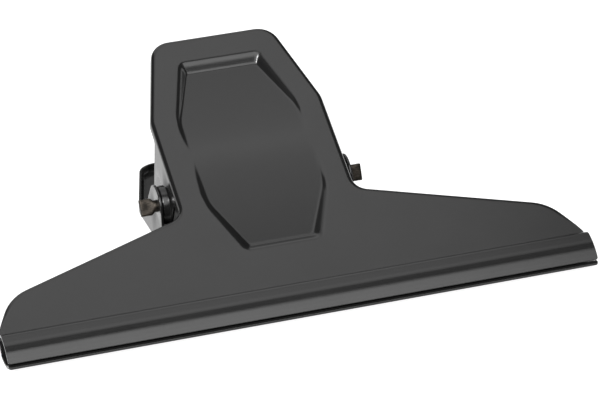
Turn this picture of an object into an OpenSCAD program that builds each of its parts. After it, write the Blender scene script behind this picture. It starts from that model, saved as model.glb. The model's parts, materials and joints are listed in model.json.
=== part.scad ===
// Wide sprung letter clip, 225 mm across the jaws, lying on its rear plate.
// Two pressed T-shaped plates pivot on one pin and a torsion spring holds the jaws shut.
// X runs along the jaws, Y from the jaws to the grips, Z up. The origin is under the middle.

/* [Sheet] */
// Thickness of the pressed steel sheet
sheet = 1; // [0.8:0.1:1.3]
// Depth of the turned-in rim round each plate, over the sheet's outer face
rim_depth = 4; // [3:0.25:5]
// Radius of the neck corners, where the grip runs out into the arms
neck_radius = 6; // [4:0.5:9]
// Radius of the corners at the top of each grip
grip_radius = 8.5; // [3:0.5:10]
// Radius of the soft bend at each grip's widest place
waist_radius = 12; // [6:1:20]
// Radius where an arm's top edge turns down to the jaw
arm_radius = 17; // [8:1:20]

/* [Plate outline] */
// Length of the jaws
jaw_length = 225; // [200:5:250]
// From the throat bend to the end of the grip
grip_end = 119.5; // [112:0.5:126]
// From the throat bend to the grip's widest place
grip_waist = 83; // [81:1:90]
// From the throat bend to the neck corner
neck_height = 38; // [34:0.5:39]
// From the throat bend to the arm's outer corner
arm_height = 16; // [12:0.5:18]
// How far the arm's outer corner stands in from the jaw's end
arm_inset = 7.5; // [5:0.5:12]
// Height of the jaw's square end over the throat bend
jaw_end_height = 0.6; // [0:0.2:1]
// How far the arm's slanted end stands in from the jaw's end, where the two meet
jaw_shoulder = 1.8; // [1.4:0.2:2.6]
// Rise of the step between the jaw's end and the arm's slanted end
jaw_shoulder_rise = 1; // [0.6:0.2:1.6]
// Half width of the front plate's neck, over its ears
neck_half = 34; // [31:0.5:36]
// How much narrower the grip's end is than its neck, on each side
grip_taper = 10.2; // [6:0.2:12]

/* [Jaws] */
// Angle of each plate to the middle plane, with the jaws shut
half_angle = 14.5; // [13:0.25:15]
// From the middle plane to the plate's outer face, at the throat bend
throat_out = 2; // [1.8:0.1:2.6]
// Radius of the throat bend, on the outer face
throat_radius = 2; // [1.5:0.25:3]
// From the middle plane to the jaw bulge's upper corner
bulge_out = 5.2; // [4.6:0.1:6]
// From the throat down to that corner
bulge_drop = 5.1; // [4.5:0.1:6]
// Radius of that corner
bulge_radius = 4.5; // [3:0.5:5]
// From the middle plane to the bulge's lower corner
bulge_low_out = 4.4; // [4:0.1:5]
// From the throat down to the lower corner
bulge_low_drop = 12.7; // [12:0.1:13.5]
// Radius of the lower corner
bulge_low_radius = 3; // [2:0.25:3.5]
// From the throat down to where the lip starts
lip_drop = 13.3; // [13.1:0.1:14]
// Length of the flat lip
lip_length = 1.9; // [1.5:0.1:3]
// Radius where the bulge turns into the lip
lip_radius = 1.1; // [0.8:0.1:1.3]
// How much longer the rear plate's lip is
lip_extra = 0.8; // [0:0.1:1.5]
// Gap between the two lips with the jaws shut
lip_gap = 0.1; // [0.05:0.05:0.3]

/* [Embossed recess] */
// Depth at the recess's top edge
recess_depth = 2.8; // [1.5:0.1:3]
// Depth at its bottom edge
recess_low_depth = 2.4; // [1.5:0.1:3]
// From the throat to its top edge
recess_top = 109; // [104:0.5:110]
// From the throat to its upper side corners
recess_upper = 81; // [76:1:90]
// From the throat to the middle crease, where it is flush
recess_mid = 64; // [60:1:68]
// From the throat to its lower side corners
recess_lower = 42; // [38:1:48]
// From the throat to its bottom edge
recess_bottom = 17; // [15:0.5:22]
// Half width at the upper side corners
recess_upper_half = 24.5; // [22:0.25:26]
// Half width at the middle crease
recess_mid_half = 23.5; // [22:0.25:25]
// Half width at the lower side corners
recess_lower_half = 24; // [22:0.25:26]
// Half width of the top edge
recess_top_half = 16; // [12:0.5:18]
// Half width of the bottom edge
recess_bottom_half = 14.5; // [10:0.5:16]
// Run of the sloping wall at the top and bottom edges
recess_end_run = 4.5; // [2.5:0.25:6]
// Run of the sloping wall at the sides
recess_side_run = 2; // [1:0.25:3]

/* [Pivot] */
// From the throat to the pin's axis, along the plate
pin_along = 55.7; // [54:0.1:58]
// Diameter of the pivot pin
pin_d = 4.4; // [4:0.1:5]
// Clearance of the pin in its holes, on the radius
pin_clear = 0.06; // [0.02:0.02:0.08]
// Radius of the ears' round ends
ear_radius = 8; // [7:0.25:9]
// Reach of the drawn collar round the pin hole, out of the front plate's ear
collar_height = 2.7; // [2:0.1:3.5]
// Radius of the collar
collar_radius = 7.4; // [6:0.2:8]
// Gap between a collar and the rear plate's ear
ear_gap = 0.3; // [0.2:0.05:0.5]
// From the throat to where the ears' grip side edges leave the rim
ear_start = 76.5; // [75:0.5:79]
// Depth of the front ear's grip side corner, inward from the outer face
front_ear_depth = 25.6; // [24.8:0.2:26.4]
// Radius of that corner
front_ear_corner = 4; // [2:0.5:5]

/* [Pin ends] */
// Length of each flattened end
spade_length = 4.4; // [4:0.2:8]
// Width across the flattened end
spade_width = 6.6; // [5.4:0.2:8]
// Thickness of the flattened end
spade_thick = 2.5; // [1.8:0.1:3]
// Run from the round pin to the flat
spade_run = 1.4; // [1:0.1:2]
// Gap between the flattened end and the ear
spade_gap = 0.3; // [0.2:0.05:0.5]
// Lean of the right end's width from upright, towards the grips
spade_lean = 24; // [0:1:45]
// Twist of the left end against the right one
spade_twist = 10; // [0:1:20]

/* [Spring] */
// Diameter of the spring wire
wire_d = 2; // [1.6:0.1:2.2]
// Mean radius of the coil
coil_radius = 4.4; // [4.3:0.1:5.2]
// Whole turns in the coil
coil_turns = 9; // [6:1:12]
// Advance of each turn along the pin
coil_pitch = 2.7; // [2.6:0.1:3.2]
// From the pin to where each leg bends flat on its plate
leg_reach = 27; // [22:1:34]
// Length of each leg's flat foot
foot_length = 7; // [4:1:10]
// Gap between a foot and its plate
foot_gap = 0.2; // [0.1:0.1:0.5]

/* [Hidden] */
$fn = 64;

paint = "#303032";
bare_steel = "#4a433d";
spring_steel = "#5a5c60";

jaw_half = jaw_length / 2;
// The rear ears stand outside the front ears' collars
rear_neck_half = neck_half + collar_height + ear_gap + sheet;
// The pin lies in the middle plane, this far inside both plates' outer faces
pin_depth = (throat_out + pin_along * sin(half_angle)) / cos(half_angle);
// How far the recess's floor draws in at its end corners
recess_setback = recess_side_run / 2;
// How far a cutting shape reaches past what it cuts
past = 1;
// Largest turn between two points of an arc, in degrees
arc_step = 9;
// Radii of the convex and the hollow corner of the step at the jaw's end
step_radius = 0.8;
step_hollow = 1.4;
// Where the rim starts over the throat, and its least gap to the middle plane
rim_from = 2;
rim_clear = 0.4;
// Depth at which the ears reach their full foot, and the lean of their grip side edge
ear_shoulder = rim_depth * 2;
ear_lean = sheet / 2;
rear_ear_lean = ear_shoulder / 2;
// Depth at which the ears' feet start, inside the sheet
ear_root = sheet / 2;
// Broken edge of the flattened pin ends
spade_edge = 0.1;

function unit(v) = v / norm(v);
function left(a, b) = let (d = unit(b - a)) [-d.y, d.x];
function flat(c) = [c.x, c.y];
function backward(list) = [for (i = [len(list) - 1:-1:0]) list[i]];

// A place given by its distance out from the middle plane and its drop below the throat,
// turned into distance along the plate and depth inward from its outer face
function from_middle(out, drop) =
    [(out - throat_out) * sin(half_angle) - drop * cos(half_angle),
     -(out - throat_out) * cos(half_angle) - drop * sin(half_angle)];

// The fillet of one corner b between a and c, as points on an arc
function arc_centre(a, b, c, r) =
    let (u = unit(a - b), v = unit(c - b), half = acos(u * v) / 2)
    b + unit(u + v) * r / sin(half);
function fillet(a, b, c, r) =
    let (u = unit(a - b), v = unit(c - b), half = acos(u * v) / 2,
         centre = arc_centre(a, b, c, r),
         from = b + u * r / tan(half) - centre,
         to = b + v * r / tan(half) - centre,
         start = atan2(from.y, from.x),
         side = cross(from, to) > 0 ? 1 : -1,
         sweep = side * (180 - 2 * half),
         steps = max(1, ceil(abs(sweep) / arc_step)))
    [for (i = [0:steps]) let (w = start + sweep * i / steps) centre + r * [cos(w), sin(w)]];

// Corners are [x, y, radius]. A closed outline rounds each of them
function rounded(corners) =
    let (n = len(corners))
    [for (i = [0:n - 1])
        let (c = corners[i])
        each c.z <= 0 ? [flat(c)]
            : fillet(flat(corners[(i + n - 1) % n]), flat(c), flat(corners[(i + 1) % n]), c.z)];

// An open path keeps its two ends
function rounded_path(corners) =
    let (n = len(corners))
    [for (i = [0:n - 1])
        let (c = corners[i])
        each (i == 0 || i == n - 1 || c.z <= 0) ? [flat(c)]
            : fillet(flat(corners[i - 1]), flat(c), flat(corners[i + 1]), c.z)];

// Corners moved to the left of the path by a distance, with their arcs kept concentric
function moved(corners, by, closed = true) =
    let (n = len(corners))
    [for (i = [0:n - 1])
        let (p = flat(corners[i]),
             before = flat(corners[(i + n - 1) % n]),
             after = flat(corners[(i + 1) % n]),
             first = !closed && i == 0,
             last = !closed && i == n - 1,
             n1 = first ? left(p, after) : left(before, p),
             n2 = last ? left(before, p) : left(p, after),
             turn = first || last ? 0 : cross(p - before, after - p) > 0 ? 1 : -1,
             q = p + (n1 + n2) / (1 + n1 * n2) * by)
        [q.x, q.y, corners[i].z <= 0 ? 0 : corners[i].z - turn * by]];

// The plate seen from outside. x runs along the jaw and y from the throat to the grip's end
function plan_corners(neck) = [
    [jaw_half, -grip_end, 0],
    [jaw_half, jaw_end_height, step_radius],
    [jaw_half - jaw_shoulder, jaw_end_height + jaw_shoulder_rise, step_hollow],
    [jaw_half - arm_inset, arm_height, arm_radius],
    [neck, neck_height, neck_radius],
    [neck, grip_waist, waist_radius],
    [neck - grip_taper, grip_end, grip_radius],
    [-neck + grip_taper, grip_end, grip_radius],
    [-neck, grip_waist, waist_radius],
    [-neck, neck_height, neck_radius],
    [-jaw_half + arm_inset, arm_height, arm_radius],
    [-jaw_half + jaw_shoulder, jaw_end_height + jaw_shoulder_rise, step_hollow],
    [-jaw_half, jaw_end_height, step_radius],
    [-jaw_half, -grip_end, 0]];

// The sheet's outer face in side view, from the grip's end down to the lip
function side_corners(extra) =
    let (upper = from_middle(bulge_out, bulge_drop),
         lower = from_middle(bulge_low_out, bulge_low_drop),
         lip = from_middle(sheet + lip_gap / 2, lip_drop),
         end = from_middle(sheet + lip_gap / 2, lip_drop + lip_length + extra))
    [[grip_end + past, 0, 0],
     [0, 0, throat_radius],
     [upper.x, upper.y, bulge_radius],
     [lower.x, lower.y, bulge_low_radius],
     [lip.x, lip.y, lip_radius],
     [end.x, end.y, 0]];

// Extrudes a side view along X, centred
module across(length) {
    translate([-length / 2, 0, 0])
        rotate([90, 0, 90])
            linear_extrude(height = length)
                children();
}

// The formed sheet: panel, throat bend, jaw bulge and lip, cut to the plate's plan
module formed_sheet(neck, extra) {
    outer = side_corners(extra);
    inner = moved(outer, -sheet, false);
    intersection() {
        across(jaw_length + 2 * past)
            polygon(concat(rounded_path(outer), backward(rounded_path(inner))));
        linear_extrude(height = grip_end, center = true)
            polygon(rounded(plan_corners(neck)));
    }
}

// The rim turned in round the panel, kept short of the middle plane near the throat
module rim(neck) {
    corners = plan_corners(neck);
    throat_room = throat_out / cos(half_angle) - rim_clear;
    intersection() {
        linear_extrude(height = rim_depth)
            difference() {
                polygon(rounded(corners));
                polygon(rounded(moved(corners, sheet)));
            }
        across(jaw_length + 2 * past)
            polygon([[rim_from, 0],
                     [rim_from, throat_room + rim_from * tan(half_angle)],
                     [grip_end + past, throat_room + (grip_end + past) * tan(half_angle)],
                     [grip_end + past, 0]]);
    }
}

// One half of the recess, from the flush crease to a deep end. grow widens and deepens it
module recess_half(end_at, end_half, corner_at, corner_half, depth, grow, top) {
    way = end_at > recess_mid ? 1 : -1;
    slope = depth / (abs(end_at - recess_mid) - recess_end_run);
    rim_ring = [[end_half + grow, end_at + way * grow],
                [corner_half + grow, corner_at],
                [recess_mid_half + grow, recess_mid]];
    floor_at = end_at - way * (recess_end_run - grow / 2);
    floor_ring = [[end_half - recess_setback + grow / 2, floor_at],
                  [corner_half - recess_side_run + grow, corner_at]];
    function sink(y) = abs(y - recess_mid) * slope + grow;
    points = concat(
        [for (x = [1, -1]) for (p = rim_ring) [x * p.x, p.y, top]],
        [for (x = [1, -1]) for (p = rim_ring) [x * p.x, p.y, grow]],
        [for (x = [1, -1]) for (p = floor_ring) [x * p.x, p.y, sink(p.y)]]);
    faces = [
        [0, 1, 2, 5, 4, 3],
        [0, 3, 9, 6], [1, 0, 6, 7], [2, 1, 7, 8], [5, 2, 8, 11], [4, 5, 11, 10], [3, 4, 10, 9],
        [6, 9, 14, 12], [7, 6, 12, 13], [8, 7, 13], [10, 11, 15], [9, 10, 15, 14],
        [12, 14, 15, 13], [8, 13, 15, 11]];
    turned = [for (f = faces) backward(f)];
    polyhedron(points, [for (f = way > 0 ? turned : faces)
        each len(f) < 4 ? [f] : [for (i = [1:len(f) - 2]) [f[0], f[i], f[i + 1]]]]);
}

module recess(grow, top) {
    recess_half(recess_top, recess_top_half, recess_upper, recess_upper_half,
                recess_depth, grow, top);
    recess_half(recess_bottom, recess_bottom_half, recess_lower, recess_lower_half,
                recess_low_depth, grow, top);
}

// Where a line from p touches the ear's round end, on the grip side
function touch(p, r) =
    let (c = [pin_along, pin_depth], d = p - c, w = atan2(d.y, d.x) + acos(r / norm(d)))
    c + r * [cos(w), sin(w)];

// The part of both ears that runs from the rim to the round end
function ear_foot() = [
    [pin_along - ear_radius, pin_depth],
    [pin_along - ear_radius, ear_shoulder],
    [neck_height + neck_radius, rim_depth],
    [neck_height + neck_radius, ear_root],
    [ear_start, ear_root],
    [ear_start - ear_lean, rim_depth]];

module front_ear_shape() {
    corner = [ear_start - front_ear_depth * tan(half_angle), front_ear_depth, front_ear_corner];
    low = [pin_along, pin_depth + ear_radius];
    foot = ear_foot();
    polygon(concat(foot, fillet(foot[len(foot) - 1], flat(corner), low, corner.z), [low]));
    translate([pin_along, pin_depth])
        circle(r = ear_radius);
}

module rear_ear_shape() {
    shoulder = [ear_start - rear_ear_lean, ear_shoulder];
    polygon(concat(ear_foot(), [shoulder, touch(shoulder, ear_radius), [pin_along, pin_depth]]));
    translate([pin_along, pin_depth])
        circle(r = ear_radius);
}

// A pair of like ears, whose outer faces stand at the half width given
module ears(outer) {
    for (x = [-outer, outer - sheet])
        translate([x, 0, 0])
            rotate([90, 0, 90])
                linear_extrude(height = sheet)
                    children();
}

// A round solid on the pin's axis, from one x to another
module on_pin(from, to, r) {
    translate([from, pin_along, pin_depth])
        rotate([0, 90, 0])
            cylinder(h = to - from, r = r);
}

module plate(neck, extra) {
    difference() {
        union() {
            difference() {
                union() {
                    formed_sheet(neck, extra);
                    recess(sheet, sheet / 2);
                }
                recess(0, -past);
            }
            rim(neck);
            children();
        }
        on_pin(-rear_neck_half - past, rear_neck_half + past, pin_d / 2 + pin_clear);
    }
}

// The pin's place in the object, and how far the rear plate leans while it lies at rest
lower_bend = let (c = side_corners(0))
    arc_centre(flat(c[2]), flat(c[3]), flat(c[4]), c[3].z);
upper_bend = let (c = side_corners(0))
    arc_centre(flat(c[1]), flat(c[2]), flat(c[3]), c[2].z);
function lean_on(c, r) =
    let (run = grip_end - c.x)
    asin(r / norm([run, c.y])) - atan2(c.y, run);
rest_lean = max(lean_on(lower_bend, bulge_low_radius), lean_on(upper_bend, bulge_radius));
spread = 2 * half_angle - rest_lean;

function lay(p, turn) = [p.x * cos(turn) - p.y * sin(turn), p.x * sin(turn) + p.y * cos(turn)];
pin_z = lay([pin_along - grip_end, pin_depth], -rest_lean).y;
rear_lip = let (c = side_corners(lip_extra)) flat(c[len(c) - 1]);
lip_y = lay(rear_lip - [pin_along, pin_depth], -rest_lean).x;
grip_y = lay([grip_end - pin_along, -pin_depth], -rest_lean).x;
front_grip_y = lay([grip_end - pin_along, pin_depth], spread).x;
pin_y = -(lip_y + max(grip_y, front_grip_y)) / 2;

module at_pin() {
    translate([0, pin_y, pin_z])
        children();
}

module rear_place() {
    at_pin()
        rotate([-rest_lean, 0, 0])
            translate([0, -pin_along, -pin_depth])
                children();
}

module front_place() {
    at_pin()
        rotate([spread, 0, 0])
            rotate([0, 180, 0])
                translate([0, -pin_along, -pin_depth])
                    children();
}

module front_plate() {
    color(paint)
        front_place()
            plate(neck_half, 0) {
                ears(neck_half)
                    front_ear_shape();
                on_pin(-neck_half - collar_height, -neck_half + sheet, collar_radius);
                on_pin(neck_half - sheet, neck_half + collar_height, collar_radius);
            }
}

module rear_plate() {
    color(paint)
        rear_place()
            plate(rear_neck_half, lip_extra)
                ears(rear_neck_half)
                    rear_ear_shape();
}

// A flattened end starts at the height z = 0 and stands up. Its width lies along Y
module spade_flat() {
    half_w = spade_width / 2;
    root = sqrt(pow(pin_d, 2) - pow(spade_thick, 2)) / 2 - spade_edge;
    top = spade_run + spade_length;
    across(spade_thick)
        polygon(rounded([[root, -spade_edge, 0], [half_w, spade_run, spade_edge],
                         [half_w, top, spade_thick / 2], [-half_w, top, spade_thick / 2],
                         [-half_w, spade_run, spade_edge], [-root, -spade_edge, 0]]));
}

// What the press takes off the round bar as it thins towards the flat
module spade_cut() {
    near = spade_thick / 2;
    rotate([0, 0, 90])
        across(2 * pin_d)
            for (side = [-1, 1])
                polygon([[side * pin_d / 2, 0], [side * near, spade_run],
                         [side * near, spade_run + past],
                         [side * pin_d, spade_run + past], [side * pin_d, 0]]);
}

module pivot_pin() {
    shank = rear_neck_half + spade_gap;
    module at_each_end() {
        translate([shank, 0, 0])
            rotate([0, 90, 0])
                rotate([0, 0, 90 + spade_lean])
                    children();
        translate([-shank, 0, 0])
            rotate([0, -90, 0])
                rotate([0, 0, 90 - spade_lean - spade_twist])
                    children();
    }
    color(bare_steel)
        at_pin() {
            difference() {
                rotate([0, 90, 0])
                    cylinder(h = 2 * (shank + spade_run), d = pin_d, center = true);
                at_each_end()
                    spade_cut();
            }
            at_each_end()
                spade_flat();
        }
}

// The spring's wire lies round the pin, and its two legs press on the plates' inner faces.
// Angles are in the side view, from the middle plane towards the front plate
function from_pin(along, depth) =
    let (a = along - pin_along, b = pin_depth - depth)
    [a * cos(half_angle) - b * sin(half_angle), a * sin(half_angle) + b * cos(half_angle)];

// Fall of the recess's upper floor, where the spring's feet lie
floor_slope = recess_depth / (recess_top - recess_mid - recess_end_run);
function wire_depth(along) =
    sheet + foot_gap + wire_d / 2 + max(0, along - recess_mid) * floor_slope;
bend_along = pin_along + leg_reach;
foot_along = bend_along + foot_length;
bend_point = from_pin(bend_along, wire_depth(bend_along));
foot_end = from_pin(foot_along, wire_depth(foot_along));
leg_angle = atan2(bend_point.y, bend_point.x) - asin(coil_radius / norm(bend_point));

// Rings to a turn of wire, and sides to a ring
rings = 8;
sides = 6;
wrap = 360 * coil_turns + 180 - 2 * leg_angle;
coil_steps = coil_turns * rings + ceil(rings / 2);
coil_width = coil_pitch * wrap / 360;

function coil_point(i) =
    let (part = i / coil_steps, w = 90 + leg_angle + part * wrap)
    [coil_width * (part - 0.5), coil_radius * cos(w), coil_radius * sin(w)];
wire_path = concat(
    [[-coil_width / 2, foot_end.x, foot_end.y], [-coil_width / 2, bend_point.x, bend_point.y]],
    [for (i = [0:coil_steps]) coil_point(i)],
    [[coil_width / 2, bend_point.x, -bend_point.y], [coil_width / 2, foot_end.x, -foot_end.y]]);

function tangent(path, i) =
    unit(path[min(i + 1, len(path) - 1)] - path[max(i - 1, 0)]);
function ring(path, i, r) =
    let (t = tangent(path, i), u = unit(cross(t, [1, 0, 0])), v = cross(t, u))
    [for (k = [0:sides - 1]) path[i] + r * (u * cos(360 * k / sides) + v * sin(360 * k / sides))];

module tube(path, r) {
    n = len(path);
    last = (n - 1) * sides;
    points = [for (i = [0:n - 1]) each ring(path, i, r)];
    walls = [for (i = [0:n - 2]) for (k = [0:sides - 1])
        let (a = i * sides + k, b = i * sides + (k + 1) % sides)
        each [[a, a + sides, b], [b, a + sides, b + sides]]];
    ends = [for (k = [1:sides - 2]) each [[0, k, k + 1], [last, last + k + 1, last + k]]];
    polyhedron(points, concat(walls, ends));
}

// Least gap of the wire to itself, over every pair of places half a turn or more apart
least_gap = min([for (i = [0:len(wire_path) - 1])
    for (j = [i + rings / 2:1:len(wire_path) - 1])
        norm(wire_path[i] - wire_path[j])]) - wire_d;
echo(least_gap = least_gap);

module torsion_spring() {
    middle_turn = half_angle - rest_lean;
    color(spring_steel)
        at_pin()
            rotate([middle_turn, 0, 0])
                tube(wire_path, wire_d / 2);
}

front_plate();
rear_plate();
pivot_pin();
torsion_spring();
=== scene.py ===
# %% [markdown]
# # A wide sprung letter clip
# The clip is two pressed steel plates, one pin and one coil spring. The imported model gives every
# place and size, and this notebook gives each piece its finished shape and its surface. It starts
# with the imports and the frame, because each piece made later is set against the frame's bodies.

# %% Load the frame
import json
import math

import bmesh
import bpy
from mathutils import Matrix, Vector


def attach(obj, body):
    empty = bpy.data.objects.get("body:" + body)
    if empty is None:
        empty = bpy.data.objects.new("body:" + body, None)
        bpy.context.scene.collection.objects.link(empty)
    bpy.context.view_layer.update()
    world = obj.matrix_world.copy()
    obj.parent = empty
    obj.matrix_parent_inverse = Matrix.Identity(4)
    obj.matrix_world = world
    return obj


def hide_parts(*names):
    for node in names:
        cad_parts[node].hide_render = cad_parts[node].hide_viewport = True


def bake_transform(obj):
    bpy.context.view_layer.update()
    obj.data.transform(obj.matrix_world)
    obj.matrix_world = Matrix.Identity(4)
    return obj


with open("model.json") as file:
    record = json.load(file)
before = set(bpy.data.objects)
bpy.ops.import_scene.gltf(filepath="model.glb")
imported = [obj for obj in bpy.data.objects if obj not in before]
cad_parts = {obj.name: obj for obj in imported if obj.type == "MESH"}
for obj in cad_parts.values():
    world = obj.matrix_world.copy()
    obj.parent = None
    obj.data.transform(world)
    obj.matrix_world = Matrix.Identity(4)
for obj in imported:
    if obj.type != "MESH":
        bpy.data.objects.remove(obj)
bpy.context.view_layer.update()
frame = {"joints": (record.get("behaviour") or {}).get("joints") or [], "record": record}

# %% [markdown]
# The camera stands where the photographer stood: in front of the jaws, a little to the left and
# about 28 degrees up, with a long lens, so that the plates keep nearly parallel edges. It could be
# placed by coordinates and turns. A direction and a distance from a point near the middle of the
# clip read more easily, and the lights are set in the same way further on.

# %% Camera
MM = 0.001
CAMERA_AIM = Vector((17.9, 1.1, 13.1))
CAMERA_DISTANCE = 1285
CAMERA_AZIMUTH = -16.76
CAMERA_ELEVATION = 27.71
CAMERA_ROLL = -1.68
CAMERA_LENS = 202.4


def direction(azimuth, elevation):
    """The unit vector from the clip towards a place given by two angles in degrees."""
    turn, rise = math.radians(azimuth), math.radians(elevation)
    return Vector((math.sin(turn) * math.cos(rise), -math.cos(turn) * math.cos(rise), math.sin(rise)))


def aimed(place, aim, roll=0):
    """A matrix that stands at a place and looks at an aim, both in millimetres."""
    look = (aim - place).to_track_quat("-Z", "Y").to_matrix().to_4x4()
    return Matrix.Translation(place * MM) @ look @ Matrix.Rotation(math.radians(roll), 4, "Z")


camera = bpy.data.objects.new("camera", bpy.data.cameras.new("camera"))
bpy.context.scene.collection.objects.link(camera)
bpy.context.scene.camera = camera
camera.data.lens = CAMERA_LENS
camera_place = CAMERA_AIM + CAMERA_DISTANCE * direction(CAMERA_AZIMUTH, CAMERA_ELEVATION)
camera.matrix_world = aimed(camera_place, CAMERA_AIM, CAMERA_ROLL)
print("camera stands at", [round(v) for v in camera_place], "mm")

# %% [markdown]
# Both plates start from the same few sizes, in millimetres. A plate is drawn flat, in three
# coordinates of its own: x runs along the jaws, y runs from the throat bend to the grip's end,
# and z is the depth inward from the plate's outer face. The two plates are twins, apart from the
# rear one's wider neck, which lets its ears stand outside the front one's, and its longer lip.

# %% Sizes of the plates
SHEET = 1.0
RIM_DEPTH = 4.0
RIM_BEND = 2.0
JAW_LENGTH = 225.0
GRIP_END = 120.0
GRIP_WAIST = 83.0
GRIP_TAPER = 10.2
NECK_HEIGHT = 38.2
ARM_HEIGHT = 16.0
ARM_INSET = 7.5
END_HEIGHT = 0.6
FRONT_NECK = 34.0
REAR_NECK = 38.0
NECK_RADIUS, WAIST_RADIUS, GRIP_RADIUS, ARM_RADIUS = 6.0, 12.0, 8.5, 17.0
END_RADIUS, LIP_END_RADIUS = 0.8, 1.0
HALF_ANGLE = math.radians(14.5)
THROAT_OUT = 2.0
PIN_ALONG = 55.7
PIN_RADIUS = 2.2
EAR_RADIUS = 8.0
PIN_DEPTH = (THROAT_OUT + PIN_ALONG * math.sin(HALF_ANGLE)) / math.cos(HALF_ANGLE)
print("the pin lies", round(PIN_DEPTH, 2), "mm inside each plate's outer face")

# %% [markdown]
# Each outline is a chain of straight runs and true arcs, as a die maker would draw it. The helper
# rounds the corners of a chain and keeps the left-hand normal at every point, because the sheet's
# turned edge is later swept along that normal. A guard point close to each arc keeps the long
# straight runs perfectly flat to the light.

# %% Helper for rounded outlines
ARC_STEP = math.radians(7.5)
GUARD = 0.15
NEAR = GUARD / 10
RUN_PITCH = 2.0


def left_of(step):
    """The unit normal to the left of a direction."""
    return Vector((-step.y, step.x)).normalized()


def run_between(start, end, pitch):
    """Points inside a straight run, no further apart than the pitch, without its ends."""
    count = max(1, math.ceil((end - start).length / pitch))
    return [start.lerp(end, k / count) for k in range(1, count)]


def rounded(corners, pitch=RUN_PITCH):
    """Points and left-hand normals of an open chain of corners, each given as x, y and radius."""
    places = [Vector(corner[:2]) for corner in corners]
    chain = [(places[0], left_of(places[1] - places[0]))]
    radii = [corner[2] for corner in corners[1:]]
    for before, corner, after, radius in zip(places, places[1:], places[2:], radii):
        back, ahead = (before - corner).normalized(), (after - corner).normalized()
        half = back.angle(ahead) / 2
        reach = radius / math.tan(half)
        centre = corner + (back + ahead).normalized() * radius / math.sin(half)
        side = 1 if (-back).cross(ahead) > 0 else -1
        normal_in, normal_out = left_of(-back), left_of(ahead)
        start = corner + back * (reach + GUARD)
        chain += [(point, normal_in) for point in run_between(chain[-1][0], start, pitch)]
        chain.append((start, normal_in))
        steps = max(2, math.ceil((math.pi - 2 * half) / ARC_STEP))
        for k in range(steps + 1):
            turn = Matrix.Rotation(side * (math.pi - 2 * half) * k / steps, 2)
            normal = turn @ normal_in
            chain.append((centre - side * radius * normal, normal))
        chain.append((corner + ahead * (reach + GUARD), normal_out))
    chain += [(point, chain[-1][1]) for point in run_between(chain[-1][0], places[-1], pitch)]
    chain.append((places[-1], chain[-1][1]))
    return chain


# %% [markdown]
# Seen from its end, the sheet runs straight down the panel, turns outward at the throat, bulges
# over the paper's edge and ends in a lip. The front lip runs straight on down to its tip, and the
# rear one ends in a flat strip under that tip. The jaw could be extruded from this side view, but
# then its ends couldn't be cut to the outline's round corners. A press bends flat sheet, so the mesh
# is bent the same way: it is cut across at every knot of this path, and its points are then wrapped
# round it.

# %% The path that the press bends the jaw along
BEND_START = 1.2
THROAT_RADIUS = 0.6


def from_middle(out, drop):
    """Distance along the plate and depth of a place given from the clip's middle plane."""
    sine, cosine = math.sin(HALF_ANGLE), math.cos(HALF_ANGLE)
    return ((out - THROAT_OUT) * sine - drop * cosine, (THROAT_OUT - out) * cosine - drop * sine)


# Each corner's distance out from the clip's middle plane, drop below the throat, and radius
BULGE = [(5.35, 3.9, 3.0), (4.75, 8.5, 8.0), (3.7, 11.4, 10.0)]
FRONT_LIP = [(2.2, 14.0, 2.0), (1.05, 15.25, 0)]
REAR_LIP = [(2.2, 14.0, 1.15), (1.05, 14.5, 0.3), (1.05, 16.0, 0)]


def jaw_path(lip):
    """Knots of the jaw in side view: the length from the start, the point and the inward normal."""
    corners = [(BEND_START, 0, 0), (0, 0, THROAT_RADIUS)]
    corners += [(*from_middle(out, drop), radius) for out, drop, radius in BULGE + lip]
    knots, length, last = [], 0, None
    for point, normal in rounded(corners, pitch=JAW_LENGTH):
        length += (point - last).length if last else 0
        knots.append((length, point, -normal))
        last = point
    return knots


def bent(knots, along, depth):
    """Where a point of the flat sheet goes when the jaw is pressed."""
    length = BEND_START - along
    if length <= 0:
        return along, depth
    for (from_length, start, n0), (to_length, end, n1) in zip(knots, knots[1:]):
        if length <= to_length:
            break
    part = (length - from_length) / (to_length - from_length)
    place = start.lerp(end, part) + n0.lerp(n1, part) * depth
    return place.x, place.y


print("the flat jaw is", round(jaw_path(FRONT_LIP)[-1][0], 2), "mm long from throat to lip")

# %% [markdown]
# The sheet's edge is either cut or turned in. Both cross-sections are lists of inset and depth with
# the same number of points, so one can fade into the other where the rim dies out at the throat.
# The turned one is a bend of 2 mm outside radius and a wall that reaches 4 mm deep, with a soft
# sheared edge. A Bevel modifier could round a square rim, but not with the inner bend that keeps
# the sheet equally thick all round.

# %% Cross-sections of a cut edge and of a turned edge
SHEAR = 0.2
# Spacing of the points that a cut edge doesn't need, on its inner face
SPARE_STEP = 0.02
QUARTER = [math.radians(angle) for angle in range(0, 91, 15)]


def bend_arc(radius, inset=0.0):
    """A quarter bend from flat to upright, as inset and depth."""
    return [(inset + radius * (1 - math.sin(a)), inset + radius * (1 - math.cos(a))) for a in QUARTER]


def turned_section():
    """A bend, a wall and a sheared edge, outside and then inside."""
    soft = SHEAR * (1 - math.sqrt(0.5))
    edge = [(0, RIM_DEPTH - SHEAR), (soft, RIM_DEPTH - soft), (SHEAR, RIM_DEPTH)]
    inner_edge = [(SHEET - inset, depth) for inset, depth in reversed(edge)]
    inner_bend = bend_arc(RIM_BEND - SHEET, SHEET)
    wall_low = RIM_DEPTH - SHEAR - GUARD
    return ([(RIM_BEND + 2 * GUARD, 0)] + bend_arc(RIM_BEND) + [(0, RIM_BEND + GUARD), (0, wall_low)]
            + edge + inner_edge
            + [(SHEET, wall_low), (SHEET, RIM_BEND + GUARD)] + inner_bend[::-1]
            + [(RIM_BEND + 2 * GUARD, SHEET)])


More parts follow.
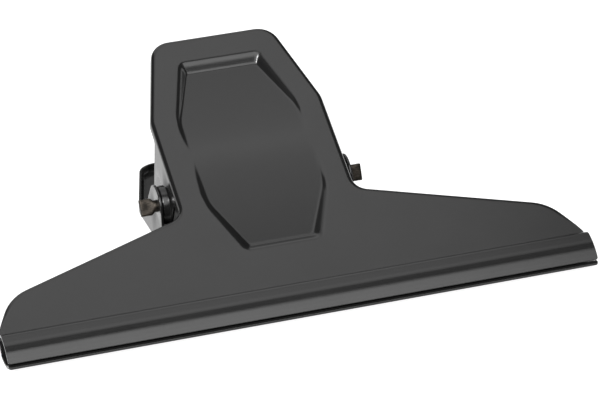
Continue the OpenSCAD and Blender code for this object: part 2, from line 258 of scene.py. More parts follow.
def cut_section():
    """A cut edge with its arrises rounded by the paint."""
    soft = SHEAR * (1 - math.sqrt(0.5))
    outside = [(SHEAR + GUARD, 0)] + bend_arc(SHEAR) + [(0, SHEAR + GUARD), (0, SHEET - SHEAR - GUARD)]
    edge = [(0, SHEET - SHEAR), (soft, SHEET - soft), (SHEAR, SHEET)]
    rest = len(turned_section()) - len(outside) - len(edge)
    return outside + edge + [(SHEAR + SPARE_STEP * (k + 1), SHEET) for k in range(rest)]


TURNED, CUT = turned_section(), cut_section()
# Rings at the two ends of the flat wall, outside and then inside
WALL_TOP, WALL_LOW = 8, 9
INNER_LOW, INNER_TOP = len(TURNED) - 1 - WALL_LOW, len(TURNED) - 1 - WALL_TOP
print("the edge has", len(TURNED), "rings:", [tuple(round(v, 2) for v in p) for p in TURNED])

# %% [markdown]
# The ears stand up from the rim's wall and carry the pin. In the wall's plane an ear has a foot, a
# round end about the pin and, on the front plate, a square corner towards the grip. They are one
# piece with the rim on a real clip, so here they are drawn as a wide bulge of the rim's edge, and
# not as plates that are pushed through it.

# %% Outlines of the ears
EAR_FROM, EAR_TO = NECK_HEIGHT + NECK_RADIUS - 1, 78.0
EAR_START = 76.5
EAR_SHOULDER = 2 * RIM_DEPTH
EAR_FOOT_RUN, EAR_FOOT_RADIUS, EAR_SIDE_RADIUS = 1.2, 1.0, 2.0
PIN = Vector((PIN_ALONG, PIN_DEPTH))


def tangent_corner(place):
    """Where the line from a place that touches the ear's round end meets the ear's jaw side."""
    away = Vector(place) - PIN
    angle = math.atan2(away.y, away.x) + math.acos(EAR_RADIUS / away.length)
    touch = PIN + EAR_RADIUS * Vector((math.cos(angle), math.sin(angle)))
    slope = Vector(place) - touch
    jaw_side = PIN_ALONG - EAR_RADIUS
    return (jaw_side, touch.y + (jaw_side - touch.x) * slope.y / slope.x, EAR_RADIUS)


EAR_FOOT = [(EAR_FROM, RIM_DEPTH, 0), (EAR_FROM + EAR_FOOT_RUN, RIM_DEPTH, EAR_FOOT_RADIUS),
            (PIN_ALONG - EAR_RADIUS, EAR_SHOULDER, EAR_SIDE_RADIUS)]
EAR_END = [(EAR_START - SHEET / 2, RIM_DEPTH, EAR_FOOT_RADIUS), (EAR_TO, RIM_DEPTH, 0)]
FRONT_EAR_DEPTH, FRONT_CORNER_RADIUS = 25.6, 4.0
FRONT_CORNER = (EAR_START - FRONT_EAR_DEPTH * math.tan(HALF_ANGLE), FRONT_EAR_DEPTH)
FRONT_EAR = EAR_FOOT + [tangent_corner(FRONT_CORNER), (*FRONT_CORNER, FRONT_CORNER_RADIUS)] + EAR_END
REAR_SHOULDER = (EAR_START - EAR_SHOULDER / 2, EAR_SHOULDER)
REAR_EAR = EAR_FOOT + [tangent_corner(REAR_SHOULDER), (*REAR_SHOULDER, EAR_SIDE_RADIUS)] + EAR_END
print("an ear reaches", round(PIN_DEPTH + EAR_RADIUS, 1), "mm in from the plate's outer face")

# %% [markdown]
# Half a plate is drawn and mirrored, because a pressing like this is symmetric. The outline runs
# from the lip's middle round the jaw's end, up the arm and the grip to the top. Each of its points
# knows how far the rim is turned there, and the points under an ear also know their place on the
# ear's edge.

# %% Half outline of a plate
FADE_FROM, FADE_TO = 1.8, 12.0


def smooth_step(value):
    """0 below 0, 1 above 1 and an even S between."""
    value = min(1, max(0, value))
    return value * value * (3 - 2 * value)


def half_outline(neck, lip_end, ear):
    """Places on the half plate's edge: point, inward normal, turned share, and ear point or None."""
    half = JAW_LENGTH / 2
    corners = [(0, lip_end, 0), (half, lip_end, LIP_END_RADIUS), (half, END_HEIGHT, END_RADIUS),
               (half - ARM_INSET, ARM_HEIGHT, ARM_RADIUS),
               (neck, NECK_HEIGHT, NECK_RADIUS), (neck, GRIP_WAIST, WAIST_RADIUS),
               (neck - GRIP_TAPER, GRIP_END, GRIP_RADIUS), (0, GRIP_END, 0)]
    places = []
    ear_points = rounded(ear)
    for point, normal in rounded(corners):
        on_wall = abs(point.x - neck) < NEAR
        if on_wall and EAR_FROM < point.y < EAR_TO:
            continue
        if on_wall and point.y >= EAR_TO and not any(p[3] for p in places):
            for k, edge in enumerate(ear_points):
                level = EAR_FROM + (EAR_TO - EAR_FROM) * k / (len(ear_points) - 1)
                places.append((Vector((neck, level)), Vector((-1, 0)), 1, edge))
        turned = smooth_step((point.y - FADE_FROM) / (FADE_TO - FADE_FROM))
        places.append((point, normal, turned, None))
    return places


def ring_place(place, ring):
    """The position of one outline point on one ring of the edge's cross-section."""
    point, normal, turned, edge = place
    inset = CUT[ring][0] + (TURNED[ring][0] - CUT[ring][0]) * turned
    depth = CUT[ring][1] + (TURNED[ring][1] - CUT[ring][1]) * turned
    if edge and WALL_LOW <= ring <= INNER_LOW:
        along = edge[0] + edge[1] * (depth - RIM_DEPTH)
        return Vector((point.x - inset, along.x, along.y))
    moved = point + normal * inset
    return Vector((moved.x, moved.y, depth))


# %% [markdown]
# A real plate is blanked, drawn and folded. A Solidify modifier on an open skin could give it its
# thickness, but would leave the edges square. Here the flat panel is one face, and the edge grows
# out of it ring by ring with an extrude operator, down the wall, round the sheared edge and back up
# inside, where a second face closes the sheet.

# %% The blank with its turned edge
def blank(places):
    """The half plate as flat sheet with its rim and ears, open along its middle."""
    bm = bmesh.new()
    number = bm.verts.layers.int.new("number")
    ring_of = bm.verts.layers.int.new("ring")
    start = [bm.verts.new(ring_place(place, 0)) for place in places]
    for k, vert in enumerate(start):
        vert[number] = k
    face = bm.faces.new(start)
    edges = [e for e in face.edges if max(abs(v.co.x) for v in e.verts) > NEAR]
    for ring in range(1, len(TURNED)):
        made = bmesh.ops.extrude_edge_only(bm, edges=edges)["geom"]
        edges = [item for item in made if isinstance(item, bmesh.types.BMEdge)]
        for vert in (item for item in made if isinstance(item, bmesh.types.BMVert)):
            vert[ring_of] = ring
            vert.co = ring_place(places[vert[number]], ring)
    edges = [e for e in edges if all(v[ring_of] == len(TURNED) - 1 for v in e.verts)]
    ends = sorted({v for e in edges for v in e.verts}, key=lambda v: v[number])
    edges.append(bm.edges.new((ends[0], ends[-1])))
    bmesh.ops.contextual_create(bm, geom=edges)
    return bm, number, ring_of


# %% [markdown]
# The pin's holes are pierced after that, and on the front plate the sheet round them is drawn up
# into a collar. A boolean could cut the hole, but a collar and its soft edges would still have to be
# built on the cut's uneven rim. So the ear's two side faces are opened and filled again round a
# circle of edges, and the hole or the collar grows from that circle ring by ring.

# %% Holes and collars in the ears
# Distances in millimetres below which two places count as one
TIGHT, CLOSE = 1e-4, 1e-3
HOLE_SIDES = 72


def circle(bm, x, radius):
    """Edges of a circle about the pin's axis, in the plane of an ear."""
    turn = Matrix.Translation((x, PIN_ALONG, PIN_DEPTH)) @ Matrix.Rotation(math.pi / 2, 4, "Y")
    verts = bmesh.ops.create_circle(bm, cap_ends=False, radius=radius, segments=HOLE_SIDES,
                                    matrix=turn)["verts"]
    return list({e for v in verts for e in v.link_edges})


def pierce(bm, places, number, ring_of, neck, boss):
    """Opens both faces of the ear and fills them again round the boss, a list of radius and rise."""
    first = next(k for k, place in enumerate(places) if place[3])
    last = len(places) - 1 - next(k for k, place in enumerate(reversed(places)) if place[3])
    sides = []
    for rings in ((WALL_TOP, WALL_LOW), (INNER_LOW, INNER_TOP)):
        faces = [f for f in bm.faces if {v[ring_of] for v in f.verts} == set(rings)
                 and all(first <= v[number] <= last for v in f.verts)]
        rim = {e for f in faces for e in f.edges if sum(g in faces for g in e.link_faces) == 1}
        bmesh.ops.delete(bm, geom=faces, context="FACES_ONLY")
        loose = [e for e in bm.edges if e.is_wire and e not in rim]
        bmesh.ops.delete(bm, geom=loose, context="EDGES")
        sides.append([e for e in rim if e.is_valid])
    edges = circle(bm, neck + boss[0][1], boss[0][0])
    bmesh.ops.triangle_fill(bm, use_beauty=True, edges=sides[0] + edges, normal=(1, 0, 0))
    for radius, rise in boss[1:]:
        made = bmesh.ops.extrude_edge_only(bm, edges=edges)["geom"]
        edges = [item for item in made if isinstance(item, bmesh.types.BMEdge)]
        for vert in (item for item in made if isinstance(item, bmesh.types.BMVert)):
            arm = (vert.co.yz - PIN).normalized() * radius
            vert.co = (neck + rise, PIN_ALONG + arm.x, PIN_DEPTH + arm.y)
        edges = [e for e in edges if all(abs(v.co.x - neck - rise) < TIGHT for v in e.verts)
                 and all(abs((v.co.yz - PIN).length - radius) < CLOSE for v in e.verts)]
    bmesh.ops.triangle_fill(bm, use_beauty=True, edges=sides[1] + edges, normal=(1, 0, 0))


# %% [markdown]
# The panel carries a pressed recess that is deepest at both ends and runs out flush at a crease
# across the middle. Its walls start in a wide rounding and then run straight down to the floor, as
# sheet drawn over a die does. A wedge cut out with a boolean would leave sharp meeting lines, so the
# sheet is pushed in by a formula of the distances to the recess's edges.

# %% The pressed recess
RECESS_TOP, RECESS_UPPER, RECESS_MID, RECESS_LOWER, RECESS_BOTTOM = 109.0, 81.0, 64.0, 42.0, 17.0
# Place along the plate and half width of each of its levels
RECESS_HALVES = [(RECESS_BOTTOM, 15.2), (RECESS_LOWER, 25.0), (RECESS_MID, 23.9),
                 (RECESS_UPPER, 25.0), (RECESS_TOP, 16.4)]
RECESS_DEPTH, RECESS_LOW_DEPTH = 2.8, 2.4
# Width of a wall for each millimetre that it goes down
END_RUN, SIDE_RUN, LOW_SIDE_RUN = 1.25, 0.9, 1.25
# Width of the upper edge's rounding, and the depths over which floor and corners are blended
RIM_ROUND, FLOOR_ROUND, CORNER_ROUND = 2.5, 0.4, 1.0
CREASE = 6.0


def soft_least(a, b, blend):
    """The smaller of two values, blended into each other where they are close."""
    share = max(0, blend - abs(a - b)) / blend
    return min(a, b) - blend * share * share / 4


def wall_depth(inside, run):
    """Depth of a wall at a distance inside its rounded upper edge. run is its width to one deep."""
    inside = max(0, inside)
    if inside < RIM_ROUND:
        return inside * inside / (2 * RIM_ROUND * run)
    return (inside - RIM_ROUND / 2) / run


def recess_depth(across, along, grow):
    """How deep the sheet is pressed in. grow widens the form for the sheet's inner face."""
    upper = along > RECESS_MID
    end, full = (RECESS_TOP, RECESS_DEPTH) if upper else (RECESS_BOTTOM, RECESS_LOW_DEPTH)
    reach, away = abs(end - RECESS_MID), abs(along - RECESS_MID)
    wall = wall_depth(reach - away + grow, END_RUN)
    sides, run = (RECESS_HALVES[2:], SIDE_RUN) if upper else (RECESS_HALVES[:3], LOW_SIDE_RUN)
    for (y0, w0), (y1, w1) in zip(sides, sides[1:]):
        inside = (w0 - abs(across)) * (y1 - y0) + (w1 - w0) * (along - y0)
        wall = soft_least(wall, wall_depth(inside / math.hypot(w1 - w0, y1 - y0) + grow, run),
                          CORNER_ROUND)
    rise = math.hypot(reach - full * END_RUN, CREASE) - CREASE
    floor = full * (math.hypot(away, CREASE) - CREASE) / rise
    return max(0, soft_least(floor, wall, FLOOR_ROUND))


print("the recess is", round(recess_depth(0, RECESS_TOP - 2 * CREASE, 0), 2), "mm deep near its top")

# %% [markdown]
# The panel needs enough points to take that form. Planes cut it into blocks with four corners, and
# each block is subdivided into an even net, on the outer and the inner face alike. The whole plate
# could start as a fine grid, but only the recess needs one, and the flat parts stay flatter without.

# %% Net and press
NET_HALF, NET_LOW, NET_MIDDLE, NET_WAIST, NET_TOP = 26.5, 14.5, 48.5, 83.0, 112.5
NET_TOP_HALF = NET_HALF - GRIP_TAPER * (NET_TOP - NET_WAIST) / (GRIP_END - GRIP_WAIST)
NET_CUTS = 59
# A face of the flat panel is larger than this many square millimetres, and faces this much up or down
LARGE_FACE, FACING = 100, 0.9


def flat_parts(bm, low, high):
    """The large faces of both panel sides between two levels."""
    return [f for f in bm.faces if f.calc_area() > LARGE_FACE and low < f.calc_center_median().y < high
            and abs(f.normal.z) > FACING]


def cut(bm, faces, place, normal):
    """Cuts faces with a plane."""
    edges = {e for f in faces for e in f.edges}
    verts = {v for e in edges for v in e.verts}
    bmesh.ops.bisect_plane(bm, geom=[*verts, *edges, *faces], dist=CLOSE,
                           plane_co=place, plane_no=normal)


def net(bm):
    """Cuts the panel's recess area, on both faces, into blocks and each block into a fine net."""
    for level in (NET_LOW, NET_MIDDLE, NET_WAIST, NET_TOP):
        cut(bm, flat_parts(bm, 0, GRIP_END), (0, level, 0), (0, 1, 0))
    cut(bm, flat_parts(bm, NET_LOW, NET_WAIST), (NET_HALF, 0, 0), (1, 0, 0))
    slant = left_of(Vector((NET_TOP_HALF - NET_HALF, NET_TOP - NET_WAIST)))
    cut(bm, flat_parts(bm, NET_WAIST, NET_TOP), (NET_HALF, NET_WAIST, 0), (*slant, 0))
    blocks = [f for f in flat_parts(bm, NET_LOW, NET_TOP)
              if len(f.verts) == 4 and f.calc_center_median().x < NET_HALF]
    edges = list({e for f in blocks for e in f.edges})
    bmesh.ops.subdivide_edges(bm, edges=edges, cuts=NET_CUTS, use_grid_fill=True)
    return len(blocks)


def press(bm):
    """Pushes the net in, the inner face a little wider than the outer one."""
    for vert in bm.verts:
        x, y, z = vert.co
        if x < NET_HALF and NET_LOW < y < NET_TOP and z < SHEET + GUARD:
            vert.co.z += recess_depth(x, y, SHEET / 2 if z > SHEET / 2 else 0)


# %% [markdown]
# Now a whole plate: blank, ears, cuts across the jaw, net, press, bend, mirror. Only half of it is
# shaped, and one mirror makes the rest, so the two halves can't drift apart. The place of each plate
# comes from the frame: the pin's joint gives the axis, and the mount on the rear plate's face gives
# how far that plate leans while the clip lies on it.

# %% Build a plate
pin_joint = frame["joints"][0]
PIN_PLACE = Vector(pin_joint["pos_m"])
mount = next(m for m in frame["record"]["mounts"] if m["name"] == "rear_face")
REST_LEAN = math.asin(-mount["axis"][1])
SPREAD = 2 * HALF_ANGLE - REST_LEAN


def build_plate(neck, lip, ear, boss):
    """A finished plate in its own flat coordinates, in millimetres."""
    knots = jaw_path(lip)
    places = half_outline(neck, BEND_START - knots[-1][0], ear)
    bm, number, ring_of = blank(places)
    pierce(bm, places, number, ring_of, neck, boss)
    for length, _, _ in knots[:-1]:
        cut(bm, list(bm.faces), (0, BEND_START - length, 0), (0, 1, 0))
    blocks = net(bm)
    press(bm)
    for vert in bm.verts:
        if vert.co.y < BEND_START:
            vert.co.y, vert.co.z = bent(knots, vert.co.y, vert.co.z)
    geom = [*bm.verts, *bm.edges, *bm.faces]
    bmesh.ops.mirror(bm, geom=geom, merge_dist=CLOSE, axis="X")
    bmesh.ops.recalc_face_normals(bm, faces=bm.faces)
    print("a plate with", blocks, "net blocks,", len(bm.faces), "faces and",
          sum(e.is_boundary or not e.is_manifold for e in bm.edges), "open edges")
    return bm


def finish_mesh(bm, name, place):
    """Puts a mesh in its place in metres, and links it as a new object."""
    bmesh.ops.transform(bm, matrix=Matrix.Scale(MM, 4) @ place, verts=bm.verts)
    for face in bm.faces:
        face.smooth = True
    mesh = bpy.data.meshes.new(name)
    bm.to_mesh(mesh)
    bm.free()
    piece = bpy.data.objects.new(name, mesh)
    bpy.context.scene.collection.objects.link(piece)
    return piece


at_pin = Matrix.Translation(PIN_PLACE / MM)
to_pin = Matrix.Translation((0, -PIN_ALONG, -PIN_DEPTH))
rear_place = at_pin @ Matrix.Rotation(-REST_LEAN, 4, "X") @ to_pin
front_place = at_pin @ Matrix.Rotation(SPREAD, 4, "X") @ Matrix.Rotation(math.pi, 4, "Y") @ to_pin
print("lean", round(math.degrees(REST_LEAN), 3), "spread", round(math.degrees(SPREAD), 3))

# %% [markdown]
# The front plate's ears have a drawn collar round the pin hole that keeps the two pairs of ears
# apart. The rear plate's ears are plain, with the pin hole's edges broken. A collar is listed as
# rings round the pin, each with its radius and its rise over the ear's outer face: up the outside,
# over the top, through the hole and back along the hollow inside.

# %% Front and rear plate
PIN_CLEAR = 0.06
HOLE = PIN_RADIUS + PIN_CLEAR
COLLAR = 7.4
COLLAR_RISE = 2.7
front_boss = [(COLLAR + 0.1, 0), (COLLAR, 0.12), (COLLAR, COLLAR_RISE - 0.5),
              (COLLAR - 0.15, COLLAR_RISE - 0.15), (COLLAR - 0.5, COLLAR_RISE),
              (COLLAR - 0.8, COLLAR_RISE), (HOLE + 0.3, COLLAR_RISE),
              (HOLE + 0.08, COLLAR_RISE - 0.08), (HOLE, COLLAR_RISE - 0.3),
              (HOLE, COLLAR_RISE - 0.8), (HOLE + 0.2, COLLAR_RISE - SHEET),
              (COLLAR - 1.3, COLLAR_RISE - SHEET), (COLLAR - 1.05, COLLAR_RISE - 1.2),
              (COLLAR - SHEET, COLLAR_RISE - 1.5), (COLLAR - SHEET, -0.7),
              (COLLAR - 0.9, -0.92), (COLLAR - 0.7, -SHEET)]
rear_boss = [(HOLE + 0.2, 0), (HOLE + 0.06, -0.06), (HOLE, -0.2), (HOLE, -0.8),
             (HOLE + 0.06, -0.94), (HOLE + 0.2, -SHEET)]
front_plate = finish_mesh(build_plate(FRONT_NECK, FRONT_LIP, FRONT_EAR, front_boss),
                          "front_pressing", front_place)
rear_plate = finish_mesh(build_plate(REAR_NECK, REAR_LIP, REAR_EAR, rear_boss),
                         "rear_pressing", rear_place)
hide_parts("front_plate")
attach(front_plate, "front")
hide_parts("rear_plate")
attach(rear_plate, "rear")

# %% [markdown]
# The pin is a length of round bar whose two ends are squeezed flat in a press, which keeps it in
# its holes. A bar and two flat blocks would show a seam where they meet, so one skin is drawn along
# the whole pin. Each ring is a rounded oblong with its own width and thickness, so the bar swells
# into the flat, and the flat ends in a chopped edge that the press has softened.

# %% Pivot pin
PIN_GAP = 0.3
SHANK = REAR_NECK + PIN_GAP
ROUND_INSET = 0.4
SPADE_LEAN, SPADE_TWIST = 24.0, 10.0
PIN_SIDES = 48
# Distance past the shank, width, thickness and roundness of each ring, 1 for a true oval
SPADE_RINGS = [(0.0, 4.4, 4.4, 1.0), (0.25, 4.6, 4.2, 1.0), (0.7, 5.6, 3.6, 0.8),
               (1.2, 6.3, 3.0, 0.62), (1.7, 6.55, 2.6, 0.45), (2.3, 6.45, 2.45, 0.36),
               (3.8, 6.4, 2.4, 0.34), (4.7, 6.5, 2.4, 0.34), (5.25, 6.5, 2.3, 0.34),
               (5.45, 6.3, 1.9, 0.4), (5.5, 5.9, 1.4, 0.45)]
# The pin is loose in its holes and has slid to the left
PIN_SLID = -0.25


def pin_ring(verts, x, width, thickness, roundness, lean):
    """Lays the points of one ring out as a rounded oblong across the pin."""
    for k, vert in enumerate(verts):
        angle = 2 * math.pi * k / len(verts)
        cosine, sine = math.cos(angle), math.sin(angle)
        wide = math.copysign(abs(cosine) ** roundness, cosine) * width / 2
        thick = math.copysign(abs(sine) ** roundness, sine) * thickness / 2
        vert.co = Matrix.Rotation(lean, 3, "X") @ Vector((x, thick, wide))


def pivot_pin():
    """The whole pin as one closed skin from the left end to the right one."""
    left_lean, right_lean = math.radians(-SPADE_LEAN - SPADE_TWIST), math.radians(-SPADE_LEAN)
    rings = [(-SHANK - out, *shape, left_lean) for out, *shape in reversed(SPADE_RINGS)]
    rings += [(x, 2 * PIN_RADIUS, 2 * PIN_RADIUS, 1.0, left_lean + (right_lean - left_lean) * share)
              for x, share in ((-SHANK + ROUND_INSET, 0), (-SHANK / 3, 0.3), (SHANK / 3, 0.7),
                               (SHANK - ROUND_INSET, 1))]
    rings += [(SHANK + out, *shape, right_lean) for out, *shape in SPADE_RINGS]
    bm = bmesh.new()
    verts = bmesh.ops.create_circle(bm, cap_ends=True, radius=PIN_RADIUS, segments=PIN_SIDES)["verts"]
    pin_ring(verts, *rings[0])
    edges = list(bm.edges)
    for ring in rings[1:]:
        made = bmesh.ops.extrude_edge_only(bm, edges=edges)["geom"]
        edges = [item for item in made if isinstance(item, bmesh.types.BMEdge)]
        fresh = [item for item in made if isinstance(item, bmesh.types.BMVert)]
        source = {v: next(e.other_vert(v) for e in v.link_edges if e.other_vert(v) in verts)
                  for v in fresh}
        verts = [next(v for v in fresh if source[v] == old) for old in verts]
        edges = [e for e in edges if all(v in verts for v in e.verts)]
        pin_ring(verts, *ring)
    bmesh.ops.contextual_create(bm, geom=edges)
    bmesh.ops.recalc_face_normals(bm, faces=bm.faces)
    return bm


pin = finish_mesh(pivot_pin(), "riveted_pin", at_pin @ Matrix.Translation((PIN_SLID, 0, 0)))
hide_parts("pivot_pin")
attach(pin, "pin")
print("pin", len(pin.data.polygons), "faces")

# %% [markdown]
# The spring is drawn wire wound on a mandrel. A curve with a round bevel follows the wire's middle
# line: a foot, a leg, the coil, and the same again on the other plate. A Screw modifier winds a coil
# too, but not with legs that leave it in a straight line.

# %% Torsion spring
WIRE = 2.0
COIL_RADIUS, COIL_TURNS, COIL_PITCH = 4.4, 9, 2.7
LEG_REACH, FOOT_LENGTH, FOOT_GAP = 27.0, 7.0, 0.2
TURN_STEPS = 36
# How far short of the recess's top edge its sloping floor ends
FLOOR_END = 4


def from_pin(along, depth):
    """A place on a plate as distances from the pin, along the middle plane and out of it."""
    a, b = along - PIN_ALONG, PIN_DEPTH - depth
    return Vector((a * math.cos(HALF_ANGLE) - b * math.sin(HALF_ANGLE),
                   a * math.sin(HALF_ANGLE) + b * math.cos(HALF_ANGLE)))


def wire_depth(along):
    """Depth of the wire's middle line where it lies on the sloping floor of the recess."""
    slope = RECESS_DEPTH / (RECESS_TOP - RECESS_MID - FLOOR_END)
    return SHEET + FOOT_GAP + WIRE / 2 + max(0, along - RECESS_MID) * slope


def wire_path():
    """The wire's middle line from the front plate's foot to the rear plate's foot."""
    bend_at = from_pin(PIN_ALONG + LEG_REACH, wire_depth(PIN_ALONG + LEG_REACH))
    foot_along = PIN_ALONG + LEG_REACH + FOOT_LENGTH
    foot_at = from_pin(foot_along, wire_depth(foot_along))
    leg_angle = math.atan2(bend_at.y, bend_at.x) - math.asin(COIL_RADIUS / bend_at.length)
    wrap = 2 * math.pi * COIL_TURNS + math.pi - 2 * leg_angle
    width = COIL_PITCH * wrap / (2 * math.pi)
    steps = round(TURN_STEPS * wrap / (2 * math.pi))
    coil = []
    for k in range(steps + 1):
        angle = math.pi / 2 + leg_angle + wrap * k / steps
        coil.append(Vector((width * (k / steps - 0.5),
                            COIL_RADIUS * math.cos(angle), COIL_RADIUS * math.sin(angle))))
    leg = (bend_at - coil[0].yz).normalized()
    foot = (foot_at - bend_at).normalized()
    # The wire turns from its leg to its foot over 2 mm on each side of the corner, and two points on
    # the leg keep it straight where it leaves the coil
    bend = [bend_at - leg * 2, bend_at - leg * 0.8 + foot * 0.1, bend_at - leg * 0.1 + foot * 0.8,
            bend_at + foot * 2]
    near = [foot_at, foot_at - foot * 0.5, *bend[::-1], coil[0].yz + leg * 6, coil[0].yz + leg * 1.5]
    start = [Vector((-width / 2, p.x, p.y)) for p in near]
    end = [Vector((width / 2, p.x, -p.y)) for p in reversed(near)]
    return start + coil + end, width


path, coil_width = wire_path()
print("the wire's path has", len(path), "points and its coil is", round(coil_width, 2), "mm wide")

# %% [markdown]
# The curve is laid in its place in the frame and made a mesh there.

# %% The spring as a mesh
line = bpy.data.curves.new("spring_line", "CURVE")
line.dimensions = "3D"
spline = line.splines.new("POLY")
spline.points.add(len(path) - 1)
middle_turn = at_pin @ Matrix.Rotation(HALF_ANGLE - REST_LEAN, 4, "X")
for knot, place in zip(spline.points, path):
    knot.co = (*(middle_turn @ place * MM), 1)
line.bevel_depth = WIRE / 2 * MM
line.bevel_resolution = 4
line.use_fill_caps = True
drawn = bpy.data.objects.new("spring_line", line)
bpy.context.scene.collection.objects.link(drawn)
bpy.context.view_layer.update()
mesh = bpy.data.meshes.new_from_object(drawn.evaluated_get(bpy.context.evaluated_depsgraph_get()))
spring = bpy.data.objects.new("wound_spring", mesh)
bpy.context.scene.collection.objects.link(spring)
bpy.data.objects.remove(drawn)
spring.data.shade_smooth()
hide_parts("torsion_spring")
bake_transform(spring)
print("spring", len(spring.data.polygons), "faces")

# %% [markdown]
# Every colour is written as the sRGB value a paint shop would give, and one function turns it
# linear, because a shader adds up light and not screen values. One more function adds a node with
# its settings and links, which keeps each material down to a few lines.

# %% Helpers for materials
def linear(hex_colour):
    """An sRGB hex colour as a linear RGBA tuple."""
    parts = [int(hex_colour[k:k + 2], 16) / 255 for k in (1, 3, 5)]
    return (*[c / 12.92 if c <= 0.04045 else ((c + 0.055) / 1.055) ** 2.4 for c in parts], 1)


def add_node(tree, kind, settings=(), **inputs):
    """Adds a node. settings are its own properties, inputs its sockets' values or links."""
    node = tree.nodes.new(kind)
    for name, value in dict(settings).items():
        setattr(node, name, value)
    for name, value in inputs.items():
        socket = node.inputs[name.replace("_", " ")]
        if isinstance(value, bpy.types.NodeSocket):
            tree.links.new(value, socket)
        else:
            socket.default_value = value
    return node


def new_material(name):
    """An empty material with its output, its shader and the piece's own coordinates."""
    material = bpy.data.materials.new(name)
    material.use_nodes = True
    tree = material.node_tree
    tree.nodes.clear()
    shader = add_node(tree, "ShaderNodeBsdfPrincipled")
    add_node(tree, "ShaderNodeOutputMaterial", Surface=shader.outputs["BSDF"])
    place = add_node(tree, "ShaderNodeTexCoord").outputs["Object"]
    return material, tree, shader, place


print("a screen grey of #808080 is", round(linear("#808080")[0], 3), "of white in linear light")

# %% [markdown]
# The plates are pressed steel with black stove enamel: sprayed, then baked, which leaves a deep
# black with a soft gloss and a very fine orange peel. The peel's cells are about 0.7 mm across and
# only shake the reflections a little. A clear coat over a matt black would look much the same, but
# nearly all the light that one sees is reflected at the surface, so one layer is enough. The slow
# drift of the gloss over some 18 mm is where the spray lay thicker.

# %% Black stove enamel
ENAMEL_IOR = 1.42
GLOSSY, DULLER = 0.20, 0.25
PEEL_MM, PEEL_DEPTH_MM, PEEL_STRENGTH = 0.7, 0.02, 0.12
DRIFT_MM = 18.0


def stove_enamel():
    """Black stove enamel: gives the eye a deep black with blurred, slightly uneven reflections."""
    material, tree, shader, place = new_material("black_stove_enamel")
    drift = add_node(tree, "ShaderNodeTexNoise", Vector=place, Scale=1 / (DRIFT_MM * MM), Detail=2.0)
    rough = add_node(tree, "ShaderNodeMapRange", Value=drift.outputs["Fac"],
                     To_Min=GLOSSY, To_Max=DULLER)
    peel = add_node(tree, "ShaderNodeTexNoise", Vector=place, Scale=1 / (PEEL_MM * MM), Detail=3.0)
    bump = add_node(tree, "ShaderNodeBump", Height=peel.outputs["Fac"], Strength=PEEL_STRENGTH,
                    Distance=PEEL_DEPTH_MM * MM)
    shader.inputs["Base Color"].default_value = linear("#141414")
    shader.inputs["IOR"].default_value = ENAMEL_IOR
    tree.links.new(rough.outputs["Result"], shader.inputs["Roughness"])
    tree.links.new(bump.outputs["Normal"], shader.inputs["Normal"])
    return material


enamel = stove_enamel()
for plate in (front_plate, rear_plate):
    plate.data.materials.append(enamel)
    print(enamel.name, "on", plate.name)

# %% [markdown]
# The pin is mild steel that was browned after cutting, so it is dull and warm, with faint marks
# along it from drawing. The spring is carbon steel wire, drawn and oil blackened, with longer lines
# on a brighter, bluer surface. Both could be flat greys, but the broken sheen is what tells bare
# metal from paint. Real drawing lines lie closer than the picture can show, so they are drawn
# 0.25 mm apart.

# %% Browned steel and oil blackened wire
DRAW_LINE_MM, DRAW_DEPTH_MM, DRAW_STRENGTH = 0.25, 0.05, 0.3
BLOTCH_MM = 3
# Where on the pattern's scale the dark oxide ends and the bare sheen begins
OXIDE_END, SHEEN_START = 0.12, 0.42


def drawn_steel(name, dark, light, roughness, stretch):
    """Drawn steel: gives a metal sheen broken by fine lines and by blotches of oxide."""
    material, tree, shader, place = new_material(name)
    lines = add_node(tree, "ShaderNodeMapping", Vector=place, Scale=stretch)
    grain = add_node(tree, "ShaderNodeTexNoise", Vector=lines.outputs["Vector"],
                     Scale=1 / (DRAW_LINE_MM * MM), Detail=4.0)
    blotch = add_node(tree, "ShaderNodeTexNoise", Vector=place, Scale=1 / (BLOTCH_MM * MM), Detail=4.0)
    mixed = add_node(tree, "ShaderNodeMath", {"operation": "MULTIPLY"})
    tree.links.new(grain.outputs["Fac"], mixed.inputs[0])
    tree.links.new(blotch.outputs["Fac"], mixed.inputs[1])
    colour = add_node(tree, "ShaderNodeValToRGB", Fac=mixed.outputs["Value"])
    for stop, at, shade in zip(colour.color_ramp.elements, (OXIDE_END, SHEEN_START), (dark, light)):
        stop.position, stop.color = at, linear(shade)
    bump = add_node(tree, "ShaderNodeBump", Height=grain.outputs["Fac"], Strength=DRAW_STRENGTH,
                    Distance=DRAW_DEPTH_MM * MM)
    tree.links.new(colour.outputs["Color"], shader.inputs["Base Color"])
    tree.links.new(bump.outputs["Normal"], shader.inputs["Normal"])
    shader.inputs["Metallic"].default_value = 1.0
    shader.inputs["Roughness"].default_value = roughness
    return material


pin.data.materials.append(drawn_steel("browned_mild_steel", dark="#1f1d1b", light="#4b4640",
                                      roughness=0.5, stretch=(0.2, 1, 1)))
spring.data.materials.append(drawn_steel("oil_blackened_wire", dark="#3a3b3e", light="#7b7d82",
                                         roughness=0.36, stretch=(1, 0.3, 0.3)))
print(pin.data.materials[0].name, "on the pin,", spring.data.materials[0].name, "on the spring")

# %% [markdown]
# The stage is a wide sheet of opal acrylic that is lit from below, as for a catalogue picture: it
# stays white, leaves no shadow, and shows as a pale glow in the plates' flanks. A paper sweep would
# do too, but would show the clip's shadow. The sheet's frosted face is drawn as a tooth 2 mm wide,
# because the real one is too fine to see from here.

# %% Floor
FLOOR_SIZE = 12000
GLOW, FROST = 0.95, 0.9
TOOTH_MM, TOOTH_DEPTH_MM, TOOTH_STRENGTH = 2.0, 0.1, 0.05


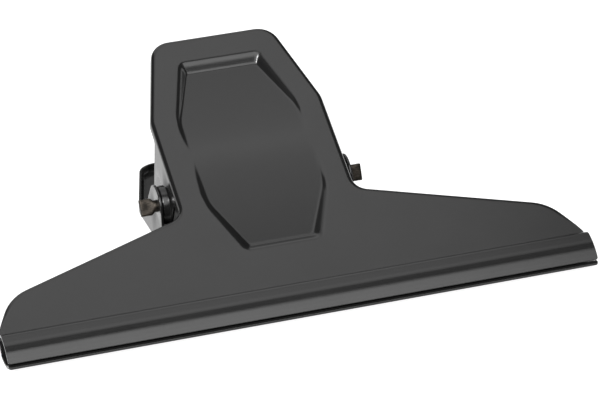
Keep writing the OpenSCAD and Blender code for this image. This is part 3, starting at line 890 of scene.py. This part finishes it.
def opal_acrylic():
    """Frosted opal acrylic, lit from below: gives the eye a white ground without shadows."""
    material, tree, shader, place = new_material("frosted_opal_acrylic")
    tooth = add_node(tree, "ShaderNodeTexNoise", Vector=place, Scale=1 / (TOOTH_MM * MM), Detail=2.0)
    bump = add_node(tree, "ShaderNodeBump", Height=tooth.outputs["Fac"], Strength=TOOTH_STRENGTH,
                    Distance=TOOTH_DEPTH_MM * MM)
    tree.links.new(bump.outputs["Normal"], shader.inputs["Normal"])
    shader.inputs["Base Color"].default_value = linear("#8c8c8c")
    shader.inputs["Emission Color"].default_value = linear("#ffffff")
    shader.inputs["Emission Strength"].default_value = GLOW
    shader.inputs["Roughness"].default_value = FROST
    return material


bm = bmesh.new()
bmesh.ops.create_grid(bm, x_segments=2, y_segments=2, size=FLOOR_SIZE / 2)
floor = finish_mesh(bm, "floor", Matrix.Identity(4))
floor.data.materials.append(opal_acrylic())
print("floor", FLOOR_SIZE, "mm wide,", floor.data.materials[0].name)

# %% [markdown]
# Black enamel shows the lights that it reflects more than its own colour. One large light would make
# every face equally pale, so there are five, each where one part of the plates mirrors it. The top
# and back softboxes give the flat panels their even grey, and the gap between them stays dark. The
# front softbox draws the highlight along the jaw's bulge and lights the recess's lower walls, the
# low one at the right lights the recess's left walls, and the lamp puts a spark in its corner.

# %% Lights and world
LIGHT_DISTANCE = 2000
WORLD_STRENGTH = 0.05
# Azimuth and elevation in degrees, width and height in millimetres, and power
LIGHTS = {"top_softbox": (180, 82, 1640, 670, 7.5),
          "back_softbox": (180, 49, 1640, 1740, 11),
          "front_softbox": (0, 50, 1700, 1640, 38),
          "right_softbox": (90, 18, 1400, 500, 4),
          "corner_lamp": (-51, 39, 420, 420, 40)}


def softbox(name, azimuth, elevation, width, height, power):
    """A rectangular soft light that looks at the middle of the clip."""
    lamp = bpy.data.lights.new(name, "AREA")
    lamp.shape, lamp.size, lamp.size_y, lamp.energy = "RECTANGLE", width * MM, height * MM, power
    light = bpy.data.objects.new(name, lamp)
    light.matrix_world = aimed(CAMERA_AIM + LIGHT_DISTANCE * direction(azimuth, elevation), CAMERA_AIM)
    bpy.context.scene.collection.objects.link(light)


for name, values in LIGHTS.items():
    softbox(name, *values)
world = bpy.data.worlds.new("studio")
world.use_nodes = True
background = world.node_tree.nodes["Background"]
background.inputs["Color"].default_value = linear("#ffffff")
background.inputs["Strength"].default_value = WORLD_STRENGTH
bpy.context.scene.world = world
bpy.context.scene.view_settings.view_transform = "Standard"
print(len(LIGHTS), "lights,", sum(values[-1] for values in LIGHTS.values()), "W in all")
